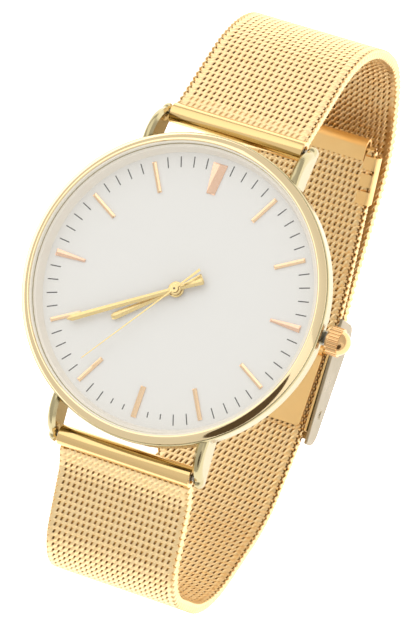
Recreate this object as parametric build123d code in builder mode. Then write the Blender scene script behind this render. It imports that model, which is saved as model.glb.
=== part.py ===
from build123d import *
from math import acos, asin, atan2, cos, radians, sin
import os

os.makedirs("parts", exist_ok=True)

# Slim three-hand quartz watch on a woven-mesh bracelet, closed and standing on its clasp.
# X points to 3 o'clock, Y to 12 o'clock, Z out of the dial. The origin is on the clasp's
# flat underside, straight below the dial's centre. Lengths are in millimetres.

# Driving dimensions
case_diameter = 40.0
lug_gap = 19.0
dial_height = 48.0
mesh_side_gap = 0.4
mesh_thickness = 1.4
overrun = 2.0
running_gap = 0.05
press_gap = 0.01
side_gap = 0.1
flat_gap = 0.1

# Heights of the case above and below the dial's top
bezel_rise = 2.6
shoulder_rise = 1.95
crystal_rise = 2.75
crystal_seat_rise = 1.6
flank_drop = 0.45
belly_drop = 2.95
back_thickness = 0.7
dial_thickness = 0.4

# Case
case_wall = 2.7
belly_inset = 1.7
belly_mid_share = 0.3
shoulder_fillet = 0.45
dial_seat_width = 1.15
gasket_width = 0.17
crystal_inset = 1.45
crystal_chamfer = 0.5
crystal_chamfer_height = 0.35
bezel_land = 0.22
bezel_crown_inset = 0.55
bezel_rib_width = 0.3
bezel_rib_depth = 0.4
bezel_rib_inset = 0.85
bezel_crown_share = 0.72
rehaut_width = 0.75
rehaut_top_width = 0.35

# Lugs
lug_width = 1.25
lug_root_inset = 4.0
lug_root_rise = 1.35
lug_root_drop = 2.75
lug_tip_reach = 2.75
lug_tip_rise = -1.75
lug_tip_drop = 4.1
lug_crest_reach = 0.7
lug_crest_rise = 0.35
lug_sole_reach = -0.4
lug_sole_drop = 3.45
lug_outer_fillet = 0.8
lug_tip_fillet = 0.4
lug_inner_chamfer = 0.35

# Spring bars, and the tubes around them with the sleeve that grips the mesh
bar_reach = 1.65
bar_drop = 2.45
bar_radius = 0.75
bar_tip_radius = 0.4
bar_tip_depth = 0.8
bar_shoulder_gap = 0.7
end_tube_radius = 1.35
end_tube_gap = 0.35
sleeve_length = 2.75
sleeve_wall = 0.22
mesh_seat = 1.75

# Bracelet route, as corners of a line whose bends are rounded
strap_edge_radius = 0.45
clasp_pin_y = 4.9
clasp_pin_z = 1.75
clasp_tube_radius = 1.0
clasp_pin_radius = 0.5
long_strap_z = 3.8
route_12_corners = [(39.5, 33.5), (39.5, 16.35), (29.7, 6.75), (13.0, 3.6)]
route_12_radii = [18.8, 11.5, 17.0, 20.0]
route_6_corners = [(-25.2, 42.05), (-36.9, 36.9), (-36.9, 18.85), (-22.7, 5.75), (-12.0, 3.8), (6.3, 3.8)]
route_6_radii = [4.0, 8.4, 16.5, 15.5, 20.0, 18.0]
tail_end = (29.9, 13.2)
notch_length = 7.6
notch_width = 0.9
notch_depth = 0.4
notch_pitch = 5.8
notches_to_case = 6
notches_to_tail = 5
lock_notch_y = -5.0

# Tail end cap and edge clips
cap_length = 2.9
cap_wall = 0.35
cap_inset = 1.8
corner_cut_length = 1.0
clip_wall = 0.3
clip_reach = 1.7
clip_start = 2.1
clip_length = 6.6
clip_gap = 0.6
clip_tabs = 3

# Clasp cover
cover_wall = 0.4
cover_free_y = -10.9
cover_ear_y = 6.4
cover_plate_end = 1.15
cover_free_height = 3.7
cover_ear_height = 6.7
cover_corner_radius = 2.0
cover_edge_fillet = 0.15
hook_width = 8.0
hook_thickness = 0.6
hook_height = 1.65
hook_play = 1.0
hook_foot_length = 1.8
dimple_radius = 0.7
dimple_depth = 0.3
dimple_bulge = 0.12
dimple_taper = 45

# Clasp slider and its lock flap
slider_wall = 0.3
slider_floor = 0.5
slider_back_y = -9.3
slider_front_y = 2.5
slider_top_z = 5.75
slider_ear_half = 0.85
slider_ear_z = 0.95
hook_bar_y = -6.5
hook_bar_radius = 0.6
rivet_head = 0.05
flap_pin_y = 1.6
flap_pin_z = 5.3
flap_pin_radius = 0.35
flap_knuckle_radius = 0.65
flap_thickness = 0.5
flap_side_inset = 0.6
flap_tip_y = -9.0
flap_rib_thickness = 0.5
flap_rib_length = 7.0

# Crown
crown_drop = 1.1
crown_radius = 1.85
crown_start = 0.75
crown_band = 1.4
crown_dome = 1.2
crown_flutes = 26
crown_flute_radius = 0.13
crown_collar_radius = 1.3
crown_collar_length = 0.4
crown_bore_depth = 1.05
crown_stem_socket = 0.5
crown_travel = 0.8
crown_tube_radius = 0.95
crown_tube_bore = 0.5
crown_tube_stick = 1.6
crown_tube_seat = 1.4
crown_gasket_length = 0.35
crown_recess_radius = 2.05
crown_recess_depth = 0.35
stem_radius = 0.35
stem_inset = 4.8
clutch_radius = 0.6
clutch_inset = 3.6
clutch_length = 1.6
clutch_pocket_gap = 0.2

# Movement
ring_width = 6.1
plate_thickness = 1.5
bridge_thickness = 0.5
bridge_inset = 0.4
ring_clearance = 0.1
ring_height = 2.3
battery_radius = 3.4
battery_height = 1.25
battery_rim = 0.15
battery_edge = 0.7
battery_angle = 220
clamp_width = 1.6
clamp_thickness = 0.15
clamp_overlap = 1.8
clamp_angle = -45
coil_radius = 0.55
coil_length = 7.0
coil_x = -3.5
coil_edge = 5.6
coil_core_radius = 0.3
coil_tab_length = 1.2
coil_tab_width = 1.4
stem_slot_half = 0.5

# Centre arbors and hands
arbor_radius = 0.15
arbor_top_rise = 1.45
arbor_depth = 1.6
cannon_radius = 0.4
cannon_top_rise = 1.1
cannon_depth = 1.0
cannon_wheel_radius = 1.6
cannon_wheel_thickness = 0.2
hour_pipe_radius = 0.68
hour_pipe_top_rise = 0.7
hour_wheel_radius = 2.8
hour_wheel_thickness = 0.16
hour_wheel_drop = 0.5
wheel_gap = 0.1
wheel_well_radius = 3.0
wheel_well_depth = 1.1
dial_hole_radius = 0.8
hour_hand_rise = 0.5
minute_hand_rise = 0.92
second_hand_rise = 1.27
hand_thickness = 0.14
second_hand_thickness = 0.08
hour_hand_reach = 3.8
minute_hand_reach = 2.25
second_hand_reach = 2.15
hand_tail_length = 3.7
second_tail_length = 4.0
hour_hand_half = 0.44
minute_hand_half = 0.39
hand_root_half = 0.28
hand_tail_half = 0.42
hand_point_length = 0.5
second_hand_half = 0.1
second_tail_half = 0.17
hour_boss_radius = 1.05
minute_boss_radius = 0.78
second_boss_radius = 0.48
boss_extra = 0.1
hour_angle = 229.8
minute_angle = 237.6
second_angle = 216.0

# Applied hour markers
marker_inset = 1.6
marker_length = 4.05
marker_height = 0.26
marker_chamfer = 0.1
stick_half = 0.27
six_half = 0.34
wedge_outer_half = 0.46
wedge_inner_half = 0.2
twelve_outer_half = 0.98
twelve_inner_half = 0.56

# Case back
back_overlap = 0.6
back_rim_wall = 0.6
back_rim_height = 0.6
back_fillet = 0.4
back_gasket_inset = 0.05
back_gasket_width = 0.35
back_gasket_height = 0.3
back_notch_half = 1.2
back_notch_depth = 0.35

# Derived places
case_radius = case_diameter / 2
case_bore_radius = case_radius - case_wall
crystal_radius = case_radius - crystal_inset
back_radius = case_bore_radius + back_overlap
back_rim_radius = case_bore_radius - running_gap
back_gasket_inner = case_bore_radius + back_gasket_inset
movement_radius = case_bore_radius - ring_width
battery_offset = movement_radius - bridge_inset - battery_radius - battery_rim - battery_edge
battery_x = battery_offset * cos(radians(battery_angle))
battery_y = battery_offset * sin(radians(battery_angle))
coil_y = movement_radius - coil_edge
stem_inner_x = movement_radius - stem_inset
clutch_inner_x = movement_radius - clutch_inset
mesh_width = lug_gap - 2 * mesh_side_gap
end_tube_length = lug_gap - 2 * end_tube_gap
dial_top = dial_height
dial_bottom = dial_top - dial_thickness
belly_z = dial_top - belly_drop
flank_z = dial_top - flank_drop
shoulder_z = dial_top + shoulder_rise
seat_z = dial_top + crystal_seat_rise
crystal_top = dial_top + crystal_rise
seat_radius = crystal_radius + gasket_width
dial_seat_radius = case_bore_radius + dial_seat_width
marker_outer_radius = dial_seat_radius - marker_inset
marker_inner_radius = marker_outer_radius - marker_length
hour_hand_length = marker_inner_radius - hour_hand_reach
minute_hand_length = marker_outer_radius - minute_hand_reach
second_hand_length = marker_outer_radius - second_hand_reach
bar_y = case_radius + bar_reach
bar_z = dial_top - bar_drop
crown_z = dial_top - crown_drop
bridge_top = dial_bottom - running_gap - plate_thickness
bridge_bottom = bridge_top - bridge_thickness
half_mesh = mesh_width / 2
half_gap = lug_gap / 2


def save(part, name):
    """Labels a finished piece and writes it under its own name."""
    part.label = name
    export_step(part, f"parts/{name}.step")


def ring(inner, outer, bottom, top):
    """A plain ring about the dial's axis."""
    with BuildPart() as body:
        with BuildSketch(Plane.XY.offset(bottom)):
            Circle(outer)
            Circle(inner, mode=Mode.SUBTRACT)
        extrude(amount=top - bottom)
    return body.part


def disc(radius, bottom, top):
    """A plain disc about the dial's axis."""
    with BuildPart() as body:
        with BuildSketch(Plane.XY.offset(bottom)):
            Circle(radius)
        extrude(amount=top - bottom)
    return body.part


def rod(radius, half_length, y, z, bore=0):
    """A rod or tube along X, centred on the bracelet's middle."""
    with BuildPart() as body:
        with BuildSketch(Plane(origin=(-half_length, y, z), x_dir=(0, 1, 0), z_dir=(1, 0, 0))):
            Circle(radius)
            if bore > 0:
                Circle(bore, mode=Mode.SUBTRACT)
        extrude(amount=2 * half_length)
    return body.part


def stem_rod(radius, start, end, bore=0):
    """A rod or tube along the crown's axis."""
    with BuildPart() as body:
        with BuildSketch(Plane(origin=(start, 0, crown_z), x_dir=(0, 1, 0), z_dir=(1, 0, 0))):
            Circle(radius)
            if bore > 0:
                Circle(bore, mode=Mode.SUBTRACT)
        extrude(amount=end - start)
    return body.part


def turned(points):
    """A piece turned about the dial's axis from straight edges, given as radius and height."""
    with BuildPart() as body:
        with BuildSketch(Plane.XZ):
            with BuildLine():
                Polyline(*points, close=True)
            make_face()
        revolve(axis=Axis.Z)
    return body.part


# One lug, at 3 o'clock's side of the 12 end. Its top and sole are arcs that meet at a round tip.
lug_root_y = case_radius - lug_root_inset
lug_tip_y = case_radius + lug_tip_reach - lug_outer_fillet
with BuildPart() as lug:
    with BuildSketch(Plane.YZ.offset(half_gap)) as lug_outline:
        with BuildLine():
            root_top = (lug_root_y, dial_top + lug_root_rise)
            root_sole = (lug_root_y, dial_top - lug_root_drop)
            tip_top = (lug_tip_y, dial_top + lug_tip_rise)
            tip_sole = (lug_tip_y, dial_top - lug_tip_drop)
            crest = (case_radius + lug_crest_reach, dial_top + lug_crest_rise)
            sole = (case_radius + lug_sole_reach, dial_top - lug_sole_drop)
            tip = (case_radius + lug_tip_reach, (tip_top[1] + tip_sole[1]) / 2)
            ThreePointArc(root_top, crest, tip_top)
            ThreePointArc(tip_top, tip, tip_sole)
            ThreePointArc(tip_sole, sole, root_sole)
            Line(root_sole, root_top)
        make_face()
        fillet(lug_outline.vertices().sort_by(Axis.X)[-2:], radius=lug_tip_fillet)
    extrude(amount=lug_width)
    outer_edges = lug.faces().sort_by(Axis.X)[-1].edges().filter_by(GeomType.CIRCLE)
    fillet(outer_edges, radius=lug_outer_fillet)
    inner_edge = lug.faces().sort_by(Axis.X)[0].edges().filter_by(GeomType.CIRCLE).sort_by(Axis.Z)[-1]
    chamfer(inner_edge, length=lug_inner_chamfer)

# Case middle: turned band with a curved belly, four lugs, and the bores for crown and bars
with BuildPart() as case_middle:
    with BuildSketch(Plane.XZ):
        with BuildLine():
            belly_mid = (case_radius - belly_inset * belly_mid_share, (flank_z + belly_z) / 2)
            Polyline(
                (case_radius - belly_inset, belly_z),
                (case_bore_radius, belly_z),
                (case_bore_radius, dial_bottom),
                (dial_seat_radius, dial_bottom),
                (dial_seat_radius, seat_z),
                (seat_radius, seat_z),
                (seat_radius, shoulder_z),
                (case_radius, shoulder_z),
                (case_radius, flank_z),
            )
            ThreePointArc((case_radius, flank_z), belly_mid, (case_radius - belly_inset, belly_z))
        make_face()
    revolve(axis=Axis.Z)
    rim = case_middle.edges().filter_by(GeomType.CIRCLE).group_by(Axis.Z)[-1].sort_by(SortBy.RADIUS)[-1]
    fillet(rim, radius=shoulder_fillet)
    add(lug.part)
    add(mirror(lug.part, about=Plane.YZ))
    add(mirror(lug.part, about=Plane.XZ))
    add(mirror(mirror(lug.part, about=Plane.YZ), about=Plane.XZ))
    # Blind holes for the tips of the spring bars
    for side in (1, -1):
        hole_half = half_gap + bar_tip_depth + running_gap
        add(rod(bar_tip_radius + running_gap, hole_half, side * bar_y, bar_z), mode=Mode.SUBTRACT)
    # Bore for the crown tube, and the shallow recess that the crown sinks into
    tube_start = case_radius - crown_tube_seat
    add(stem_rod(crown_tube_radius, tube_start, case_radius + overrun), mode=Mode.SUBTRACT)
    add(stem_rod(crown_tube_bore, case_bore_radius - overrun, case_radius), mode=Mode.SUBTRACT)
    recess_start = case_radius - crown_recess_depth
    add(stem_rod(crown_recess_radius, recess_start, case_radius + overrun), mode=Mode.SUBTRACT)
    # Register groove for the bezel and groove for the case-back gasket
    rib_outer = case_radius - bezel_rib_inset
    rib_inner = rib_outer - bezel_rib_width
    groove_bottom = shoulder_z - bezel_rib_depth - press_gap
    add(ring(rib_inner - press_gap, rib_outer + press_gap, groove_bottom, shoulder_z), mode=Mode.SUBTRACT)
    gasket_outer = back_gasket_inner + back_gasket_width
    add(ring(case_bore_radius, gasket_outer, belly_z, belly_z + back_gasket_height), mode=Mode.SUBTRACT)
save(case_middle.part, "case_middle")

# Bezel: polished convex ring with a register rib underneath
with BuildPart() as bezel:
    with BuildSketch(Plane.XZ):
        with BuildLine():
            bezel_outer = case_radius - bezel_land
            bezel_top_z = dial_top + bezel_rise
            crown_rise = (bezel_rise - shoulder_rise) * bezel_crown_share
            crown_point = (bezel_outer - bezel_crown_inset / 2, shoulder_z + crown_rise)
            Polyline(
                (seat_radius + bezel_land, bezel_top_z),
                (seat_radius, bezel_top_z - bezel_land / 2),
                (seat_radius, shoulder_z),
                (rib_inner, shoulder_z),
                (rib_inner, shoulder_z - bezel_rib_depth),
                (rib_outer, shoulder_z - bezel_rib_depth),
                (rib_outer, shoulder_z),
                (bezel_outer, shoulder_z),
            )
            ThreePointArc((bezel_outer, shoulder_z), crown_point, (seat_radius + bezel_land, bezel_top_z))
        make_face()
    revolve(axis=Axis.Z)
save(bezel.part, "bezel")

# Crystal: flat mineral glass with a bevelled rim, and the gasket that grips it
with BuildPart() as crystal:
    with BuildSketch(Plane.XY.offset(seat_z)):
        Circle(crystal_radius)
    extrude(amount=crystal_top - seat_z)
    top_rim = crystal.edges().sort_by(Axis.Z)[-1]
    chamfer(top_rim, length=crystal_chamfer_height, length2=crystal_chamfer,
            reference=crystal.faces().filter_by(GeomType.CYLINDER)[0])
save(crystal.part, "crystal")

gasket_top = dial_top + bezel_rise - bezel_land
save(ring(crystal_radius, seat_radius, seat_z, gasket_top), "crystal_gasket")

# Dial, and the sloped flange ring that stands on it under the crystal
rehaut_outer = dial_seat_radius - press_gap
rehaut = turned([
    (rehaut_outer - rehaut_width, dial_top),
    (rehaut_outer, dial_top),
    (rehaut_outer, seat_z),
    (rehaut_outer - rehaut_top_width, seat_z),
])
save(rehaut, "rehaut")
save(ring(dial_hole_radius, dial_seat_radius - press_gap, dial_bottom, dial_top), "dial")


def clock_plane(angle, z):
    """A flat plane whose own Y runs from the centre towards a clock angle in degrees."""
    turn = radians(angle)
    return Plane(origin=(0, 0, z), x_dir=(cos(turn), -sin(turn), 0), z_dir=(0, 0, 1))


def hour_marker(hour):
    """One applied marker: a stick, or a wedge at 3, 9 and 12, with bevelled top edges."""
    halves = {12: (twelve_inner_half, twelve_outer_half), 6: (six_half, six_half)}
    halves[3] = halves[9] = (wedge_inner_half, wedge_outer_half)
    inner_half, outer_half = halves.get(hour, (stick_half, stick_half))
    with BuildPart() as body:
        with BuildSketch(clock_plane(30 * hour, dial_top)):
            with BuildLine():
                Polyline(
                    (-inner_half, marker_inner_radius),
                    (inner_half, marker_inner_radius),
                    (outer_half, marker_outer_radius),
                    (-outer_half, marker_outer_radius),
                    close=True,
                )
            make_face()
        extrude(amount=marker_height)
        chamfer(body.faces().sort_by(Axis.Z)[-1].edges(), length=marker_chamfer)
    return body.part


for hour in range(1, 13):
    save(hour_marker(hour), f"marker_{hour:02d}")


def baton_hand(angle, rise, length, half, boss_radius, bore):
    """A baton hand that widens to a pointed tip, with a flared tail and a raised boss."""
    with BuildPart() as body:
        with BuildSketch(clock_plane(angle, dial_top + rise)):
            with BuildLine():
                Polyline(
                    (-hand_root_half, 0),
                    (-hand_tail_half, -hand_tail_length),
                    (hand_tail_half, -hand_tail_length),
                    (hand_root_half, 0),
                    (half, length - 2 * hand_point_length),
                    (0, length),
                    (-half, length - 2 * hand_point_length),
                    close=True,
                )
            make_face()
            Circle(boss_radius)
            Circle(bore, mode=Mode.SUBTRACT)
        extrude(amount=hand_thickness)
        with BuildSketch(Plane.XY.offset(dial_top + rise - boss_extra)):
            Circle(boss_radius)
            Circle(bore, mode=Mode.SUBTRACT)
        extrude(amount=hand_thickness + 2 * boss_extra)
    return body.part


hour_bore = hour_pipe_radius
hour_hand = baton_hand(hour_angle, hour_hand_rise, hour_hand_length, hour_hand_half,
                       hour_boss_radius, hour_bore)
save(hour_hand, "hour_hand")
minute_bore = cannon_radius
minute_hand = baton_hand(minute_angle, minute_hand_rise, minute_hand_length, minute_hand_half,
                         minute_boss_radius, minute_bore)
save(minute_hand, "minute_hand")

# Second hand: thin needle with a broader tail and a closed boss
with BuildPart() as second_hand:
    with BuildSketch(clock_plane(second_angle, dial_top + second_hand_rise)):
        with BuildLine():
            Polyline(
                (-second_hand_half, 0),
                (-second_tail_half, -second_tail_length),
                (second_tail_half, -second_tail_length),
                (second_hand_half, 0),
                (second_hand_half / 2, second_hand_length),
                (-second_hand_half / 2, second_hand_length),
                close=True,
            )
        make_face()
        Circle(second_boss_radius)
        Circle(arbor_radius, mode=Mode.SUBTRACT)
    extrude(amount=second_hand_thickness)
    with BuildSketch(Plane.XY.offset(dial_top + second_hand_rise)):
        Circle(second_boss_radius)
        Circle(arbor_radius, mode=Mode.SUBTRACT)
    extrude(amount=second_hand_thickness + boss_extra)
save(second_hand.part, "second_hand")

# Centre arbors, one inside the other
arbor_bottom = dial_top - arbor_depth
save(disc(arbor_radius, arbor_bottom, dial_top + arbor_top_rise), "second_arbor")

cannon_bottom = dial_top - cannon_depth
with BuildPart() as cannon_pinion:
    add(ring(arbor_radius + running_gap, cannon_radius, cannon_bottom, dial_top + cannon_top_rise))
    cannon_wheel_top = cannon_bottom + cannon_wheel_thickness
    add(ring(arbor_radius + running_gap, cannon_wheel_radius, cannon_bottom, cannon_wheel_top))
save(cannon_pinion.part, "cannon_pinion")

hour_wheel_top = dial_top - hour_wheel_drop
with BuildPart() as hour_wheel:
    wheel_bottom = hour_wheel_top - hour_wheel_thickness
    add(ring(cannon_radius + running_gap, hour_pipe_radius, wheel_bottom, dial_top + hour_pipe_top_rise))
    add(ring(cannon_radius + running_gap, hour_wheel_radius, wheel_bottom, hour_wheel_top))
save(hour_wheel.part, "hour_wheel")

# Movement: main plate with its wheel well, battery well, coil slot and stem channel
plate_top = dial_bottom - running_gap
coil_z = plate_top - coil_radius - running_gap
with BuildPart() as main_plate:
    with BuildSketch(Plane.XY.offset(bridge_top)):
        Circle(movement_radius)
    extrude(amount=plate_thickness)
    add(disc(wheel_well_radius, dial_top - wheel_well_depth, plate_top), mode=Mode.SUBTRACT)
    add(disc(arbor_radius + running_gap, bridge_top, plate_top), mode=Mode.SUBTRACT)
    with BuildSketch(Plane.XY.offset(bridge_top)):
        with Locations((battery_x, battery_y)):
            Circle(battery_radius + battery_rim)
    extrude(amount=battery_height / 2 + battery_rim, mode=Mode.SUBTRACT)
    with BuildSketch(Plane.XY.offset(plate_top)):
        with Locations((coil_x, coil_y)):
            Rectangle(coil_length + 2 * coil_tab_length + 2 * battery_rim, coil_tab_width + 2 * battery_rim)
    extrude(amount=-2 * coil_radius - 2 * running_gap, mode=Mode.SUBTRACT)
    channel_start = stem_inner_x - running_gap
    add(stem_rod(stem_radius + running_gap, channel_start, movement_radius + overrun), mode=Mode.SUBTRACT)
    with BuildSketch(Plane.XY.offset(plate_top)):
        with Locations((clutch_inner_x + clutch_length / 2, 0)):
            Rectangle(clutch_length + 2 * clutch_pocket_gap, 2 * clutch_radius + 2 * clutch_pocket_gap)
    extrude(amount=-(plate_top - crown_z) - clutch_radius - clutch_pocket_gap / 2, mode=Mode.SUBTRACT)
save(main_plate.part, "main_plate")

# Train bridge with the battery's opening
bridge_radius = movement_radius - bridge_inset
with BuildPart() as train_bridge:
    with BuildSketch(Plane.XY.offset(bridge_bottom)):
        Circle(bridge_radius)
        with Locations((battery_x, battery_y)):
            Circle(battery_radius + battery_rim, mode=Mode.SUBTRACT)
    extrude(amount=bridge_thickness)
save(train_bridge.part, "train_bridge")

# Coin battery in its well, and the strip that holds it
battery_top = bridge_top + battery_height / 2 + battery_rim
battery_bottom = battery_top - battery_height
with BuildPart() as battery:
    with BuildSketch(Plane.XY.offset(battery_bottom)):
        with Locations((battery_x, battery_y)):
            Circle(battery_radius)
    extrude(amount=battery_height)
    chamfer(battery.edges().sort_by(Axis.Z)[0], length=battery_rim)
save(battery.part, "battery")

clamp_length = 2 * battery_radius + 2 * clamp_overlap
clamp_top = min(battery_bottom, bridge_bottom)
with BuildPart() as battery_clamp:
    with BuildSketch(Plane.XY.offset(clamp_top)):
        with Locations((battery_x + battery_rim, battery_y)):
            SlotOverall(clamp_length, clamp_width, rotation=clamp_angle)
    extrude(amount=-clamp_thickness)
save(battery_clamp.part, "battery_clamp")

# Motor coil: a wound bobbin on a core whose flat tabs rest in the plate
with BuildPart() as coil:
    coil_start = (coil_x - coil_length / 2, coil_y, coil_z)
    with BuildSketch(Plane(origin=coil_start, x_dir=(0, 1, 0), z_dir=(1, 0, 0))):
        Circle(coil_radius)
    extrude(amount=coil_length)
    with BuildSketch(Plane.XY.offset(coil_z - coil_core_radius / 2)):
        with Locations((coil_x, coil_y)):
            Rectangle(coil_length + 2 * coil_tab_length, coil_tab_width)
    extrude(amount=coil_core_radius)
save(coil.part, "motor_coil")

# Moulded ring that holds the movement in the case, with a channel for the stem
ring_bottom = plate_top - ring_height
with BuildPart() as movement_ring:
    add(ring(movement_radius + ring_clearance, case_bore_radius - ring_clearance, ring_bottom, plate_top))
    rebate_inner = back_rim_radius - back_rim_wall - ring_clearance
    rebate_top = belly_z + back_rim_height + ring_clearance
    add(ring(rebate_inner, case_bore_radius, ring_bottom, rebate_top), mode=Mode.SUBTRACT)
    with BuildSketch(Plane.XY.offset(plate_top)):
        with Locations((case_bore_radius, 0)):
            Rectangle(2 * (case_bore_radius - movement_radius) + overrun, 2 * stem_slot_half)
    extrude(amount=-(plate_top - crown_z) - stem_slot_half, mode=Mode.SUBTRACT)
save(movement_ring.part, "movement_ring")

# Crown tube pressed through the case band
tube_end = case_radius + crown_tube_stick
save(stem_rod(crown_tube_radius, tube_start, tube_end, bore=crown_tube_bore), "crown_tube")

# Clutch wheel that turns with the stem, and the stem that slides through it
clutch_end_x = clutch_inner_x + clutch_length
save(stem_rod(clutch_radius, clutch_inner_x, clutch_end_x, bore=stem_radius + press_gap), "clutch_wheel")

crown_face = case_radius + crown_start
crown_bore_end = crown_face + crown_bore_depth
save(stem_rod(stem_radius, stem_inner_x, crown_bore_end + crown_stem_socket), "winding_stem")

# Crown: fluted band with a round dome outside and a collar round the tube
with BuildPart() as crown:
    dome_plane = Plane(origin=(crown_face + crown_band, 0, crown_z), x_dir=(1, 0, 0), z_dir=(0, -1, 0))
    with BuildSketch(dome_plane):
        with BuildLine():
            dome_base = crown_radius - 2 * crown_flute_radius
            dome_radius = (crown_dome**2 + dome_base**2) / (2 * crown_dome)
            half_turn = asin(dome_base / dome_radius) / 2
            dome_centre = crown_dome - dome_radius
            dome_mid = (dome_centre + dome_radius * cos(half_turn), dome_radius * sin(half_turn))
            Line((0, 0), (0, dome_base))
            ThreePointArc((0, dome_base), dome_mid, (crown_dome, 0))
            Line((crown_dome, 0), (0, 0))
        make_face()
    revolve(axis=Axis(origin=(0, 0, crown_z), direction=(1, 0, 0)))
    add(stem_rod(crown_radius, crown_face, crown_face + crown_band))
    collar_start = crown_face - crown_collar_length
    add(stem_rod(crown_collar_radius, collar_start, crown_face))
    flute_plane = Plane(origin=(crown_face, 0, crown_z), x_dir=(0, 1, 0), z_dir=(1, 0, 0))
    with BuildSketch(flute_plane):
        with PolarLocations(crown_radius, crown_flutes):
            Circle(crown_flute_radius)
    extrude(amount=crown_band, mode=Mode.SUBTRACT)
    add(stem_rod(crown_tube_radius + running_gap, collar_start, crown_bore_end), mode=Mode.SUBTRACT)
    add(stem_rod(stem_radius, crown_bore_end, crown_bore_end + crown_stem_socket), mode=Mode.SUBTRACT)
save(crown.part, "crown")

# Gasket on the stem, deep enough in the tube to stay there when the crown is pulled out
gasket_end = tube_end - crown_travel - running_gap
gasket_start = gasket_end - crown_gasket_length
save(stem_rod(crown_tube_bore - running_gap, gasket_start, gasket_end, bore=stem_radius), "crown_gasket")

# Case back: pressed-in cup with a rim inside the case and a notch for the opening knife
back_z = belly_z - back_thickness
with BuildPart() as case_back:
    with BuildSketch(Plane.XY.offset(back_z)):
        Circle(back_radius)
    extrude(amount=back_thickness)
    fillet(case_back.edges().sort_by(Axis.Z)[0], radius=back_fillet)
    with BuildSketch(Plane.XY.offset(belly_z)):
        Circle(back_rim_radius)
        Circle(back_rim_radius - back_rim_wall, mode=Mode.SUBTRACT)
    extrude(amount=back_rim_height)
    with BuildSketch(Plane.XY.offset(belly_z - back_notch_depth)):
        with Locations((0, -back_radius)):
            Rectangle(2 * back_notch_half, back_notch_half)
    extrude(amount=back_notch_depth, mode=Mode.SUBTRACT)
save(case_back.part, "case_back")
save(ring(back_gasket_inner, gasket_outer, belly_z, belly_z + back_gasket_height), "back_gasket")


def spring_bar(side):
    """Telescopic bar: a tube body between the lugs with a thin tip in each lug."""
    with BuildPart() as body:
        add(rod(bar_radius, half_gap - bar_shoulder_gap, side * bar_y, bar_z))
        add(rod(bar_tip_radius, half_gap + bar_tip_depth, side * bar_y, bar_z))
    return body.part


save(spring_bar(1), "spring_bar_12")
save(spring_bar(-1), "spring_bar_6")


def mesh_band(route):
    """Sweeps the band's rounded section along its route."""
    with BuildPart() as body:
        with BuildSketch(Plane(origin=route @ 0, x_dir=(1, 0, 0), z_dir=route % 0)):
            RectangleRounded(mesh_width, mesh_thickness, strap_edge_radius)
        sweep(path=route)
    return body.part


# Short strap, on the outside at the clasp
with BuildLine(Plane.YZ) as short_route:
    FilletPolyline((bar_y, bar_z), *route_12_corners, (clasp_pin_y, clasp_pin_z), radius=route_12_radii)
with BuildPart() as strap_12:
    add(mesh_band(short_route.wires()[0]))
    add(rod(mesh_seat, half_mesh + overrun, bar_y, bar_z), mode=Mode.SUBTRACT)
    add(rod(clasp_tube_radius, half_mesh + overrun, clasp_pin_y, clasp_pin_z), mode=Mode.SUBTRACT)
save(strap_12.part, "strap_12")

clasp_tube_half = half_mesh + side_gap
clasp_bore = clasp_pin_radius + running_gap
save(rod(clasp_tube_radius, clasp_tube_half, clasp_pin_y, clasp_pin_z, bore=clasp_bore), "clasp_tube")

# Long strap, which runs through the clasp and ends in a free tail inside the loop
with BuildLine(Plane.YZ) as long_route:
    FilletPolyline((-bar_y, bar_z), *route_6_corners, tail_end, radius=route_6_radii)
long_wire = long_route.wires()[0]
long_length = long_wire.length


def route_plane(distance):
    """Plane on the long strap's middle, whose Z points into the loop."""
    spot = long_wire.position_at(distance, position_mode=PositionMode.LENGTH)
    along = long_wire.tangent_at(distance, position_mode=PositionMode.LENGTH)
    inward = Vector(1, 0, 0).cross(along)
    return Plane(origin=spot, x_dir=(1, 0, 0), z_dir=inward)


# The lock notch lies on the straight stretch in the clasp, so its distance follows from its place
flat_start = long_wire.param_at_point(Vector(0, lock_notch_y, long_strap_z)) * long_length
fold_radius = mesh_thickness / 2 + cap_wall
strap_end_cut = fold_radius
cap_half = half_mesh - cap_inset
with BuildPart() as strap_6:
    add(mesh_band(long_wire))
    add(rod(mesh_seat, half_mesh + overrun, -bar_y, bar_z), mode=Mode.SUBTRACT)
    for step in range(-notches_to_case, notches_to_tail + 1):
        notch_plane = route_plane(flat_start + step * notch_pitch).offset(mesh_thickness / 2)
        with BuildSketch(notch_plane):
            SlotOverall(notch_length, notch_width)
        extrude(amount=-notch_depth, mode=Mode.SUBTRACT)
    end_plane = Plane(origin=long_wire @ 1, x_dir=(1, 0, 0), z_dir=long_wire % 1)
    with BuildSketch(end_plane):
        Rectangle(mesh_width + overrun, mesh_thickness + overrun)
    extrude(amount=-strap_end_cut, mode=Mode.SUBTRACT)
    # The tail's corners are cut back to the width of its end cap
    with BuildSketch(route_plane(long_length).offset(-mesh_thickness)):
        for side in (1, -1):
            with BuildLine():
                Polyline(
                    (side * cap_half, overrun),
                    (side * cap_half, -strap_end_cut),
                    (side * half_mesh, -strap_end_cut - corner_cut_length),
                    (side * (half_mesh + overrun), -strap_end_cut - corner_cut_length),
                    (side * (half_mesh + overrun), overrun),
                    close=True,
                )
            make_face()
    extrude(amount=2 * mesh_thickness, mode=Mode.SUBTRACT)
save(strap_6.part, "strap_6")


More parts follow.
